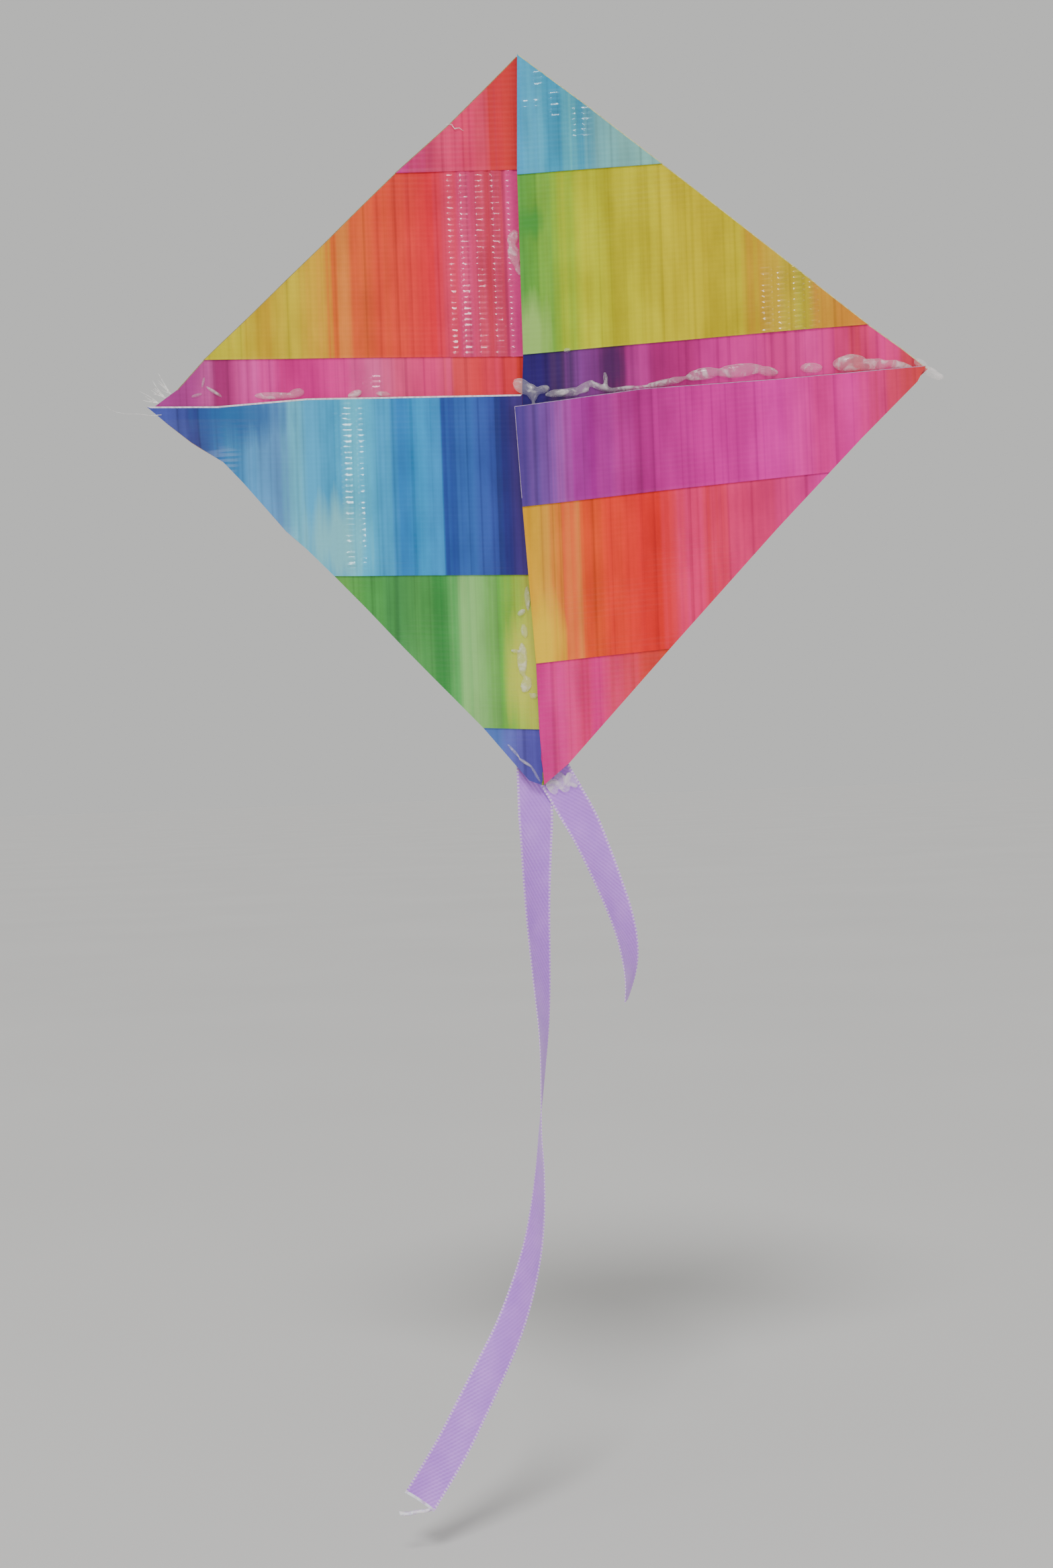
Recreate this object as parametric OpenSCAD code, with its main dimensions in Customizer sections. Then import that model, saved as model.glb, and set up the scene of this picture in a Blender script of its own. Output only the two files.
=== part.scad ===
// Small craft kite: four panels of laminated cloth tape glued over two crossed
// split-bamboo sticks, with two satin ribbon tails.
// Seen from the front: X to the right, Z up the spine, and -Y towards the viewer.
// The origin is at the crossing, on the back face of the spar. Millimetres.

/* [Sail] */
// Height of the nose above the spar
nose_z = 88.2; // [80:0.1:100]
// Depth of the tail point below the spar
foot_z = 103; // [95:0.5:110]
// Reach of the left wing tip
left_tip = 99.8; // [96:0.1:110]
// Reach of the right wing tip
right_tip = 104.5; // [101:0.5:112]
// How far a lower panel covers the panel above it
seam_cover = 4.5; // [3.5:0.5:6]

/* [Tape] */
// Thickness of one ply of tape
ply = 0.25; // [0.2:0.01:0.27]
// Overlap of one strip on the next
lap = 3; // [2:0.5:4]
// Length of the step where a strip climbs over the next one
lap_ramp = 1.2; // [0.8:0.1:2]

/* [Sticks] */
// Width of both sticks
stick_w = 5; // [4:0.5:5]
// Thickness of both sticks
stick_t = 2; // [1.6:0.1:2]
// Upper end of the spine
spine_top = 82; // [70:1:82]
// Lower end of the spine
spine_bottom = 96; // [85:1:96]
// Left end of the spar
spar_left = 93; // [80:1:93]
// Right end of the spar
spar_right = 97; // [80:1:97]

/* [Ribbon] */
// Width of the satin ribbon
ribbon_w = 9; // [7:0.5:9]
// Thickness of the satin ribbon
ribbon_t = 0.3; // [0.2:0.05:0.3]
// Free play left at each tail hinge
hinge_gap = 0.4; // [0.4:0.1:0.6]

/* [Hidden] */
$fn = 24;
big = 400;

// Depth of each panel's middle plane. A lies lowest, B and C lap over A, D laps over all.
panel_step = 1.25;
mid_a = -2 * stick_t - 3 * ply;
mid_b = mid_a - panel_step;
mid_c = mid_b;
mid_d = mid_b - panel_step;

spine_front = -2 * stick_t;

// Panel outlines, as [x, z] seen from the front.
a_outline = [
    [-left_tip + 1.3, -0.5], [0, nose_z - 0.2], [4.5, nose_z - 4.2],
    [4.5, -seam_cover], [-90, -seam_cover],
];
b_outline = [
    [-0.9, 56], [0.3, nose_z], [right_tip, 2], [99, -2.5], [-1, -8.5],
];
c_outline = [
    [-left_tip, -0.3], [-81.5, -0.9], [-58, 0.2], [-1.7, -0.7], [-1.7, -9.5], [3, -9.5],
    [3, 3.2 - foot_z], [0.2, -foot_z], [-3.6, 1.5 - foot_z], [-15, -87.3],
    [-44.5, -54.9], [-59.3, -39.3], [-69.6, -28], [-80.5, -15.4], [-88.7, -9.7],
];
d_outline = [
    [-3.9, -4], [29.7, -0.7], [right_tip - 1, 2.7], [101.3, -1.4], [63.4, -38.6],
    [7, -97.4], [0.4, -foot_z], [-0.6, -71], [-2.8, -28],
];

// Lower edge of each strip, as [height at x = 0, slope].
a_seams = [[58.3, 0], [9.4, -0.025]];
b_seams = [[56.7, 0.032], [9.7, 0.051]];
c_seams = [[-47.9, -0.027], [-88.3, -0.062]];
d_seams = [[-30, 0.074], [-71.1, 0.073]];
a_back_seam = [37, 0.01];
b_back_seam = [35, -0.02];
c_back_seam = [-41, 0.02];
d_back_seam = [-43, -0.03];

// Free part of each tail: centre of the ribbon as [x, y, z], then its twist in degrees.
// The long tail is one ribbon in two links, which turn on each other where it hangs edge-on.
long_y = -4.8;
short_y = -5.45;
long_hinge = [-2.2, long_y, -109];
short_hinge = [7.5, short_y, -108.3];
short_lean = 28;
long_upper_route = [
    [-2.2, long_y, -109, 0], [-2.2, long_y, -113, 13], [-2.3, long_y, -118, 25],
    [-2.5, long_y, -128, 38], [-2.5, long_y, -138, 47], [-2.3, long_y, -148, 55],
    [-2.1, long_y, -158, 64], [-2.1, long_y, -167, 73], [-2.6, long_y, -176, 81],
    [-3.3, long_y, -185, 87],
];
long_lower_route = [
    [-3.3, long_y, -185, 87], [-4, long_y, -194, 94], [-4.4, long_y, -203, 103],
    [-5.4, long_y, -213.5, 113], [-7.2, long_y, -224, 122], [-10.2, long_y, -234.5, 132],
    [-14.2, long_y, -245, 141], [-19.2, long_y, -255, 150], [-24.8, long_y, -265.5, 159],
    [-30.6, long_y, -276, 166], [-39.2, long_y, -289.3, 171],
];
short_route = [
    [7.5, short_y, -108.3, 0], [8.6, short_y, -110.4, 5], [10.8, short_y, -114.8, 18],
    [13, short_y, -120.1, 28], [14.9, short_y, -125, 34], [16.7, short_y, -130, 39],
    [18.3, short_y, -134.5, 43], [19.6, short_y, -139, 47], [20.6, short_y, -143.5, 52],
    [21.1, short_y, -148, 58], [21.1, short_y, -152, 66], [20.6, short_y, -156, 75],
    [19.7, short_y, -160, 83],
];
root_top = -92;
short_root_length = 17;
smear_t = 0.25;
yarn_t = 0.3;
filament_t = 0.16;

// ---- Tape panels ----

// A prism through the sail with the given outline, between two depths.
module prism(outline, back = 20, front = -30) {
    translate([0, back, 0]) rotate([90, 0, 0]) linear_extrude(back - front) polygon(outline);
}

// Everything above, or with keep_below everything below, a slanting line.
module half(seam, shift, keep_below) {
    translate([0, 0, seam[0] + shift]) rotate([0, -atan(seam[1]), 0])
        translate([-big, -big / 2, keep_below ? -big : 0]) cube([2 * big, big, big]);
}

// Cross-section of a strip from its lower edge up: a lap, a step down, then the flat.
module strip_section() {
    polygon([
        [0, -ply], [lap, -ply], [lap + lap_ramp, 0], [big, 0],
        [big, -ply], [lap + lap_ramp, -ply], [lap, -2 * ply], [0, -2 * ply],
    ]);
}

// One strip of a ply: lapped over the strip below it, and tucked under the one above.
module strip(outline, mid, low, high, back = false) {
    translate([0, mid, 0]) mirror([0, back ? 1 : 0, 0]) intersection() {
        prism(outline);
        if (low)
            translate([-big, 0, low[0] - big * low[1]]) rotate([0, -atan(low[1]), 0])
                multmatrix([[0, 0, 1, 0], [0, 1, 0, 0], [1, 0, 0, 0]])
                    linear_extrude(2 * big) strip_section();
        else
            translate([-big, -ply, -big]) cube([2 * big, ply, 2 * big]);
        if (high) half(high, lap, true);
    }
}

module upper_left_top_strip() { color("#c83a58") strip(a_outline, mid_a, a_seams[0], false); }
module upper_left_middle_strip() { color("#e8432e") strip(a_outline, mid_a, a_seams[1], a_seams[0]); }
module upper_left_bottom_strip() { color("#cf2f86") strip(a_outline, mid_a, false, a_seams[1]); }
module upper_left_back_top_strip() { color("#e0a43a") strip(a_outline, mid_a, a_back_seam, false, true); }
module upper_left_back_bottom_strip() { color("#4f9f5b") strip(a_outline, mid_a, false, a_back_seam, true); }

module upper_right_top_strip() { color("#3fa0c6") strip(b_outline, mid_b, b_seams[0], false); }
module upper_right_middle_strip() { color("#c9c224") strip(b_outline, mid_b, b_seams[1], b_seams[0]); }
module upper_right_bottom_strip() { color("#a02f86") strip(b_outline, mid_b, false, b_seams[1]); }
module upper_right_back_top_strip() { color("#d2356a") strip(b_outline, mid_b, b_back_seam, false, true); }
module upper_right_back_bottom_strip() { color("#3b6fb3") strip(b_outline, mid_b, false, b_back_seam, true); }

module lower_left_top_strip() { color("#3a86bd") strip(c_outline, mid_c, c_seams[0], false); }
module lower_left_middle_strip() { color("#5fae57") strip(c_outline, mid_c, c_seams[1], c_seams[0]); }
module lower_left_bottom_strip() { color("#5563b8") strip(c_outline, mid_c, false, c_seams[1]); }
module lower_left_back_top_strip() { color("#b63c96") strip(c_outline, mid_c, c_back_seam, false, true); }
module lower_left_back_bottom_strip() { color("#e2792f") strip(c_outline, mid_c, false, c_back_seam, true); }

module lower_right_top_strip() { color("#b52a92") strip(d_outline, mid_d, d_seams[0], false); }
module lower_right_middle_strip() { color("#ee4a33") strip(d_outline, mid_d, d_seams[1], d_seams[0]); }
module lower_right_bottom_strip() { color("#e5318c") strip(d_outline, mid_d, false, d_seams[1]); }
module lower_right_back_top_strip() { color("#a9c53c") strip(d_outline, mid_d, d_back_seam, false, true); }
module lower_right_back_bottom_strip() { color("#4a8fc4") strip(d_outline, mid_d, false, d_back_seam, true); }

// ---- Sticks ----

module spine() {
    color("#d9b77c") translate([-stick_w / 2, spine_front, -spine_bottom])
        cube([stick_w, stick_t, spine_bottom + spine_top]);
}

module spar() {
    color("#d3ae70") translate([-spar_left, -stick_t, -stick_w / 2])
        cube([spar_left + spar_right, stick_t, stick_w]);
}

// ---- Hot glue ----

// A flattened drop that rests on the plane y = foot and stands out towards the viewer.
module drop(x, z, foot, length, width, height, turn = 0) {
    translate([x, foot, z]) rotate([0, -turn, 0]) intersection() {
        resize([length, 2 * height, width]) sphere(d = 2);
        translate([-big / 2, -big, -big / 2]) cube([big, big, big]);
    }
}

// A block of set glue between two depths.
module pad(x0, x1, z0, z1, back, front) {
    translate([x0, front, z0]) cube([x1 - x0, back - front, z1 - z0]);
}

a_front = mid_a - ply;
b_front = mid_b - ply;
c_front = mid_c - ply;

module glue() { color("#efe9e4", 0.75) children(); }

// Between panels A and B up the nose seam, with one bulge pressed out on the left.
module nose_seam_glue() {
    glue() {
        pad(0.4, 3.6, 14, 33, a_front, mid_b + ply);
        pad(0.4, 3.6, 40, 54, a_front, mid_b + ply);
        drop(-2.9, 37.5, a_front, 3.2, 10.5, 0.9, 8);
    }
}

// Between panels A and C along the left seam, with lumps pressed out above it.
module left_seam_glue() {
    glue() {
        pad(-84, -8, -3.6, -1.4, a_front, mid_c + ply);
        drop(-64, 1.4, a_front, 13, 1.9, 0.8, -2);
        drop(-45, 1.1, a_front, 7, 1.2, 0.6, 0);
        drop(-37.5, 1.1, a_front, 4, 1.6, 0.7, 0);
    }
}

// Between panels B and D along the right seam. Most of this bead shows above panel D.
module right_seam_glue() {
    glue() {
        pad(6, 48, -5, -3.8, b_front, mid_d + ply);
        pad(52, 96, -1.6, -0.2, b_front, mid_d + ply);
        difference() {
            right_bead();
            prism(d_outline);
        }
    }
}

module right_bead() {
    drop(24, 0.6, b_front, 22, 3.2, 1.2, 4);
    drop(42, 2.2, b_front, 26, 3.6, 1.5, 4);
    drop(62, 3, b_front, 16, 3.2, 1.3, 3);
    drop(78, 4, b_front, 20, 4.4, 1.7, 3);
    drop(92, 4.2, b_front, 16, 4.2, 1.4, -2);
}

// Between panels C and D down the foot seam, with a skin and crumbs on panel C.
module foot_seam_glue() {
    glue() {
        pad(-0.2, 2.4, -84, -52, c_front, mid_d + ply);
        difference() {
            union() {
                drop(-3.8, -66, c_front, 5, 26, 0.9, 0);
                drop(-3, -79, c_front, 4, 9, 1, -20);
                drop(-5.6, -56.5, c_front, 3.2, 1.8, 1, 40);
                drop(-6.9, -66.4, c_front, 3.4, 1.4, 0.9, 0);
            }
            prism(d_outline);
            half(c_seams[0], lap, false);
            half(c_seams[1], lap + lap_ramp, true);
        }
    }
}

// The lump where all four panels meet.
module centre_glue() {
    glue() difference() {
        drop(0.6, 1.6, a_front, 9, 5, 2.8, -20);
        prism(b_outline, 20, b_front);
        prism(c_outline, 20, c_front);
        prism(d_outline);
        right_bead();
    }
}

// Crumbs and strings near the left wing tip.
module left_tip_glue() {
    glue() {
        drop(-82.3, 2.9, a_front, 5, 1, 0.7, -25);
        drop(-85.4, 5, a_front, 2.4, 0.8, 0.5, 70);
        drop(-87.5, 2.6, a_front, 3, 1, 0.6, 20);
    }
}

// The lump that closes the right wing tip and stands a little beyond it.
module right_tip_glue() {
    glue() difference() {
        translate([right_tip - 0.6, mid_b - ply, 1.2]) rotate([0, 35, 0])
            resize([6.4, 2.6, 3.2]) sphere(d = 2);
        prism(b_outline);
        prism(d_outline);
    }
}

// A ridge of glue across the last strip at the foot.
module foot_glue() {
    glue() difference() {
        drop(-4.9, -96.4, c_front, 11, 1.1, 0.6, -50);
        prism(d_outline);
    }
}

// Beads between the spine and the backs of the panels.
module spine_glue() {
    glue() {
        pad(-1.6, 1.6, 46, 78, spine_front, mid_a + ply);
        pad(-1.6, 1.6, 6, 32, spine_front, mid_a + ply);
        pad(-1.6, 1.6, -36, -12, spine_front, mid_c + ply);
        pad(-1.6, 1.6, -84, -48, spine_front, mid_c + ply);
    }
}

// Dabs between the spar and the backs of the panels.
module spar_glue() {
    glue() for (x = [30, 58, 84]) {
        pad(-x - 4, -x + 4, -2, 2, -stick_t, mid_a + ply);
        pad(x - 4, x + 4, -2, 2, -stick_t, mid_b + ply);
    }
}

// The fillet that binds spine and spar where they cross.
module crossing_glue() {
    glue() difference() {
        translate([0, -stick_t, 0]) intersection() {
            resize([15, 6, 15]) sphere(d = 2);
            translate([-10, -stick_t, -10]) cube([20, 2 * stick_t - 0.4, 20]);
        }
        spine();
        spar();
    }
}

// Glue that holds both tails between the spine and panel C.
module tail_root_glue() {
    glue() {
        pad(-2, 2, -95.5, -93, spine_front, long_y + ribbon_t / 2);
        pad(-1.8, 1.6, -98, -94.6, long_y - ribbon_t / 2, short_y + ribbon_t / 2);
        pad(-1.6, 1.6, -98, -94.6, short_y - ribbon_t / 2, mid_c + ply);
    }
}

// A thin smear left on the face of the short tail, just above its hinge.
module tail_glue_smear() {
    glue() translate(short_hinge) rotate([0, -short_lean, 0])
        translate([-3, -ribbon_t / 2 - smear_t, 1.5]) cube([6.5, smear_t, 5]);
}

// ---- Loose threads ----

// A round thread from one point to another.
module thread(from, to, thick) {
    run = to - from;
    translate(from) rotate([0, acos(run[2] / norm(run)), atan2(run[1], run[0])])
        cylinder(h = norm(run), d = thick, $fn = 8);
}

// Yarns pulled out of the cloth of the upper left panel at its tip.
module left_tip_threads() {
    lie = a_front - yarn_t / 2;
    color("white") {
        thread([-94.4, lie, 2.6], [-98.2, lie - 0.6, 6], yarn_t);
        thread([-95.3, lie, 1.8], [-99.8, lie - 0.8, 4.7], yarn_t);
        thread([-96.6, lie, 0.8], [-100.7, lie - 0.5, 2.4], yarn_t);
    }
}

// One long fine filament that trails from the tip of the lower left panel.
module loose_filament() {
    lie = c_front - filament_t / 2;
    color("white") {
        thread([-96, lie, -2.6], [-107, lie - 0.4, -1.9], filament_t);
        thread([-107, lie - 0.4, -1.9], [-110, lie - 0.6, 0], filament_t);
    }
}

// ---- Ribbon tails ----

function place(p) = [p[0], p[1], p[2]];
function unit(v) = v / norm(v);

// Route point a, moved half a hinge gap towards b.
function drawn_in(a, b) = a + (b - a) * hinge_gap / 2 / norm(place(b) - place(a));

// The four corners of the ribbon at point i of a path.
function ring(path, i) =
    let (
        run = unit(place(path[min(i + 1, len(path) - 1)]) - place(path[max(i - 1, 0)])),
        side = unit(cross(run, [0, 1, 0])),
        out = cross(side, run),
        wide = side * cos(path[i][3]) + out * sin(path[i][3]),
        thick = cross(wide, run)
    )
    [for (c = [[-1, -1], [1, -1], [1, 1], [-1, 1]])
        place(path[i]) + wide * c[0] * ribbon_w / 2 + thick * c[1] * ribbon_t / 2];

// A flat ribbon along a route, half a hinge gap short at each end.
module ribbon(route) {
    last = len(route) - 1;
    path = [
        drawn_in(route[0], route[1]), for (i = [1 : last - 1]) route[i],
        drawn_in(route[last], route[last - 1]),
    ];
    points = [for (i = [0 : last]) each ring(path, i)];
    walls = [for (i = [0 : last - 1], k = [0 : 3])
        let (p = 4 * i + k, q = 4 * i + (k + 1) % 4)
        each [[p, p + 4, q], [q, p + 4, q + 4]]];
    ends = [
        [0, 1, 2], [0, 2, 3],
        [4 * last + 3, 4 * last + 2, 4 * last + 1], [4 * last + 3, 4 * last + 1, 4 * last],
    ];
    polyhedron(points, concat(walls, ends));
}

module long_tail_root() {
    color("#c7a2e2") translate(long_hinge) translate([-ribbon_w / 2, -ribbon_t / 2, hinge_gap / 2])
        cube([ribbon_w, ribbon_t, root_top - long_hinge[2] - hinge_gap / 2]);
}

module long_tail_upper() { color("#c7a2e2") ribbon(long_upper_route); }

module long_tail_lower() { color("#c7a2e2") ribbon(long_lower_route); }

module short_tail_root() {
    color("#c7a2e2") translate(short_hinge) rotate([0, -short_lean, 0])
        translate([-ribbon_w / 2, -ribbon_t / 2, hinge_gap / 2])
            cube([ribbon_w, ribbon_t, short_root_length]);
}

module short_tail() { color("#c7a2e2") ribbon(short_route); }

// The heat-sealed edge of the cut end, come loose at one corner.
module long_tail_loose_edge() {
    color("#e6dcf0") thread([-36.9, long_y, -292], [-44.2, long_y - 0.3, -291.7], 0.8);
}

spine();
spar();
upper_left_top_strip();
upper_left_middle_strip();
upper_left_bottom_strip();
upper_left_back_top_strip();
upper_left_back_bottom_strip();
upper_right_top_strip();
upper_right_middle_strip();
upper_right_bottom_strip();
upper_right_back_top_strip();
upper_right_back_bottom_strip();
lower_left_top_strip();
lower_left_middle_strip();
lower_left_bottom_strip();
lower_left_back_top_strip();
lower_left_back_bottom_strip();
lower_right_top_strip();
lower_right_middle_strip();
lower_right_bottom_strip();
lower_right_back_top_strip();
lower_right_back_bottom_strip();
nose_seam_glue();
left_seam_glue();
right_seam_glue();
foot_seam_glue();
centre_glue();
left_tip_glue();
right_tip_glue();
foot_glue();
spine_glue();
spar_glue();
crossing_glue();
tail_root_glue();
tail_glue_smear();
left_tip_threads();
loose_filament();
long_tail_root();
long_tail_upper();
long_tail_lower();
long_tail_loose_edge();
short_tail_root();
short_tail();
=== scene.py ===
"""A small handmade diamond kite: lapped cloth-tape panels glued over crossed split-bamboo sticks,
with two satin ribbon tails. Metres; X to the right, Z up the spine, -Y out of the printed face."""
import math
import random

import bmesh
import bpy
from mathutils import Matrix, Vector, noise


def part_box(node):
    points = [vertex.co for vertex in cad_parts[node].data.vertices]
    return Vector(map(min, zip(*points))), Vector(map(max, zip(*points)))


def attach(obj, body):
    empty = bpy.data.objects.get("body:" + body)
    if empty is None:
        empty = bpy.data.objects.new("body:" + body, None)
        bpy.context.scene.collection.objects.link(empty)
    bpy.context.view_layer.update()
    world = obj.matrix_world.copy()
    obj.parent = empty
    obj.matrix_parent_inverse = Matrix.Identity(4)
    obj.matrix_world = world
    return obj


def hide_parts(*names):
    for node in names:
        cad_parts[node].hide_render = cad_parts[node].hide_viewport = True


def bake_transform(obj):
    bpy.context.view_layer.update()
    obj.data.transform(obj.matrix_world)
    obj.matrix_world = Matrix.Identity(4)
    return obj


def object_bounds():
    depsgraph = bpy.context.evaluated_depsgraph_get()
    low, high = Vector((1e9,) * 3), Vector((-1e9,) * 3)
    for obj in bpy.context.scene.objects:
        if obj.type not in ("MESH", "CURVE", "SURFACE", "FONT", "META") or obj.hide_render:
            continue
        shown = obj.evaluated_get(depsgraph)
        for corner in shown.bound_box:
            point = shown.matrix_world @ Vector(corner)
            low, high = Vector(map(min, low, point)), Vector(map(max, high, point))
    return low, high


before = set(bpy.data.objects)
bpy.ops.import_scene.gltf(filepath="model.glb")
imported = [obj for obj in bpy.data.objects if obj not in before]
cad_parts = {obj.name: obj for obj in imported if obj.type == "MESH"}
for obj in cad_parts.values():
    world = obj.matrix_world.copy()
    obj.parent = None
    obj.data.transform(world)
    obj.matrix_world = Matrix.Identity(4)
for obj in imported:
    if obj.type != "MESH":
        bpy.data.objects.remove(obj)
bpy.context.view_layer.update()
bpy.ops.object.select_all(action="DESELECT")

mm = 0.001

# ---- Camera ----
# Square on to the sail from about half a metre, in portrait, rolled a little to the right.
view_distance = 520 * mm
view_height = 409.6 * mm
view_centre = Vector((-4.3, -6, -102.4)) * mm
bpy.ops.object.camera_add(
    location=view_centre - Vector((0, view_distance, 0)),
    rotation=(math.pi / 2, math.radians(2.1), 0),
)
camera = bpy.context.object
camera.name = "camera"
camera.data.sensor_width = 36
camera.data.lens = 36 * view_distance / view_height
bpy.context.scene.camera = camera


# ---- Ribbon tails ----
# Two lengths of 9 mm polyester satin ribbon, cut from a roll and glued behind the foot of the sail.
# Their weave is a fine diagonal twill between two selvedges of tiny loops, and they hang in a
# lazy half twist from having been wound on the roll.
def linear(code):
    """An sRGB hex colour as linear RGBA."""
    parts = [int(code[i : i + 2], 16) / 255 for i in (1, 3, 5)]
    return [c / 12.92 if c <= 0.04045 else ((c + 0.055) / 1.055) ** 2.4 for c in parts] + [1]


def add_node(tree, kind, settings=None, links=None):
    """A shader node. Lower-case settings are its properties, the others its input values."""
    made = tree.nodes.new(kind)
    for name, value in (settings or {}).items():
        if isinstance(name, str) and name[0].islower():
            setattr(made, name, value)
        else:
            made.inputs[name].default_value = value
    for name, socket in (links or {}).items():
        tree.links.new(socket, made.inputs[name])
    return made


def add_ramp(tree, value, stops):
    """A colour ramp over value, from pairs of a place and a colour."""
    ramp = add_node(tree, "ShaderNodeValToRGB", links={0: value})
    elements = ramp.color_ramp.elements
    while len(elements) < len(stops):
        elements.new(1)
    for element, (place, code) in zip(elements, stops):
        element.position = place
        element.color = linear(code)
    return ramp.outputs["Color"]


def new_material(name, settings):
    """A material, its node tree and its principled shader with these input values."""
    material = bpy.data.materials.new(name)
    material.use_nodes = True
    tree = material.node_tree
    shader = tree.nodes["Principled BSDF"]
    for key, value in settings.items():
        shader.inputs[key].default_value = value
    return material, tree, shader


def satin():
    """Polyester satin: a soft, directional shine, with lighter loops along both edges."""
    material, tree, shader = new_material(
        "lilac_satin",
        {
            "Roughness": 0.36,
            "IOR": 1.53,
            "Anisotropic": 0.45,
            "Sheen Weight": 0.25,
            "Sheen Roughness": 0.35,
            "Subsurface Weight": 0.06,
            "Subsurface Radius": (0.6 * mm, 0.4 * mm, 0.6 * mm),
        },
    )
    weave = add_node(tree, "ShaderNodeUVMap", {"uv_map": "weave"}).outputs["UV"]
    across = add_node(tree, "ShaderNodeSeparateXYZ", links={0: weave})
    # The real twill is too fine to show, so it is drawn this coarse, in millimetres.
    twill_pitch = 0.9
    slanted = add_node(
        tree, "ShaderNodeMapping", {"Rotation": (0, 0, math.radians(-58))}, {"Vector": weave}
    )
    twill = add_node(
        tree,
        "ShaderNodeTexWave",
        {"bands_direction": "Y", "Scale": math.pi / (10 * twill_pitch), "Distortion": 0.3},
        {"Vector": slanted.outputs[0]},
    )
    # Weft picks cross it, and end in a tiny loop at each edge.
    picks = add_node(
        tree,
        "ShaderNodeTexWave",
        {"bands_direction": "Y", "Scale": math.pi / (10 * twill_pitch)},
        {"Vector": weave},
    )
    crossed = add_node(
        tree, "ShaderNodeMath", {"operation": "MULTIPLY_ADD", 1: 0.35},
        {0: picks.outputs[0], 2: twill.outputs[0]},
    )
    cloud = add_node(tree, "ShaderNodeTexNoise", {"Scale": 0.12, "Detail": 2}, {"Vector": weave})
    body = add_ramp(tree, cloud.outputs[0], [(0.3, "#c47cf6"), (0.7, "#d48eff")])
    thread = add_node(
        tree,
        "ShaderNodeMix",
        {"data_type": "RGBA", "blend_type": "MULTIPLY", 0: 0.22},
        {6: body, 7: add_ramp(tree, crossed.outputs[0], [(0.25, "#b49ccc"), (0.9, "#ffffff")])},
    )
    middle = add_node(
        tree, "ShaderNodeMath", {"operation": "SUBTRACT", 1: ribbon_width / mm / 2},
        {0: across.outputs["X"]},
    )
    reach = add_node(tree, "ShaderNodeMath", {"operation": "ABSOLUTE"}, {0: middle.outputs[0]})
    edge = add_node(
        tree, "ShaderNodeMapRange", {"From Min": 3.85, "From Max": 4.1}, {0: reach.outputs[0]}
    )
    loops = add_node(
        tree, "ShaderNodeMath", {"operation": "MULTIPLY"}, {0: edge.outputs[0], 1: picks.outputs[0]}
    )
    colour = add_node(
        tree,
        "ShaderNodeMix",
        {"data_type": "RGBA", 7: linear("#f4dcff")},
        {0: loops.outputs[0], 6: thread.outputs[2]},
    )
    height = add_node(
        tree, "ShaderNodeMath", {"operation": "ADD"}, {0: crossed.outputs[0], 1: loops.outputs[0]}
    )
    bump = add_node(
        tree,
        "ShaderNodeBump",
        {"Strength": 0.6, "Distance": 0.1 * mm},
        {"Height": height.outputs[0]},
    )
    tree.links.new(colour.outputs[2], shader.inputs["Base Color"])
    tree.links.new(bump.outputs[0], shader.inputs["Normal"])
    return material


def melted_polyester():
    """Flame-sealed polyester: white, waxy and slightly see-through."""
    material, tree, shader = new_material(
        "melted_polyester",
        {"Roughness": 0.38, "IOR": 1.53, "Subsurface Weight": 0.3, "Subsurface Scale": 1 * mm},
    )
    place = add_node(tree, "ShaderNodeTexCoord")
    speckle = add_node(
        tree, "ShaderNodeTexNoise", {"Scale": 1 / (1.5 * mm), "Detail": 3}, {0: place.outputs["Object"]}
    )
    tint = add_ramp(tree, speckle.outputs[0], [(0.35, "#cdb6e0"), (0.58, "#fbf8ff")])
    tree.links.new(tint, shader.inputs["Base Color"])
    bump = add_node(
        tree, "ShaderNodeBump", {"Strength": 0.5, "Distance": 0.2 * mm}, {"Height": speckle.outputs[0]}
    )
    tree.links.new(bump.outputs[0], shader.inputs["Normal"])
    return material


ribbon_width = 9 * mm
ribbon_thickness = 0.2 * mm
ring_step = 0.35 * mm
lilac_satin = satin()
scorched_edge = melted_polyester()

# Centre of the ribbon, then its twist in degrees. The first two points are behind the sail.
long_y = -4.8 * mm
short_y = -5.45 * mm
long_route = [
    (-0.0022, long_y, -0.092, 0), (-0.0022, long_y, -0.1, 0), (-0.0022, long_y, -0.109, 0),
    (-0.0022, long_y, -0.113, 13), (-0.0023, long_y, -0.118, 25), (-0.0025, long_y, -0.128, 38),
    (-0.0025, long_y, -0.138, 47), (-0.0023, long_y, -0.148, 55), (-0.0021, long_y, -0.158, 64),
    (-0.0021, long_y, -0.167, 73), (-0.0026, long_y, -0.176, 81), (-0.0033, long_y, -0.185, 87),
    (-0.004, long_y, -0.194, 94), (-0.0044, long_y, -0.203, 103), (-0.0054, long_y, -0.2135, 113),
    (-0.0072, long_y, -0.224, 122), (-0.0102, long_y, -0.2345, 132),
    (-0.0142, long_y, -0.245, 141), (-0.0192, long_y, -0.255, 150),
    (-0.0248, long_y, -0.2655, 159), (-0.0306, long_y, -0.276, 166),
    (-0.0392, long_y, -0.2893, 171),
]
short_route = [
    (-0.0005, short_y, -0.0933, 0), (0.0035, short_y, -0.1008, 0), (0.0075, short_y, -0.1083, 0),
    (0.0086, short_y, -0.1104, 5), (0.0108, short_y, -0.1148, 18), (0.013, short_y, -0.1201, 28),
    (0.0149, short_y, -0.125, 34), (0.0167, short_y, -0.13, 39), (0.0183, short_y, -0.1345, 43),
    (0.0196, short_y, -0.139, 47), (0.0206, short_y, -0.1435, 52), (0.0211, short_y, -0.148, 58),
    (0.0211, short_y, -0.152, 66), (0.0206, short_y, -0.156, 75), (0.0197, short_y, -0.16, 83),
]


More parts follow.
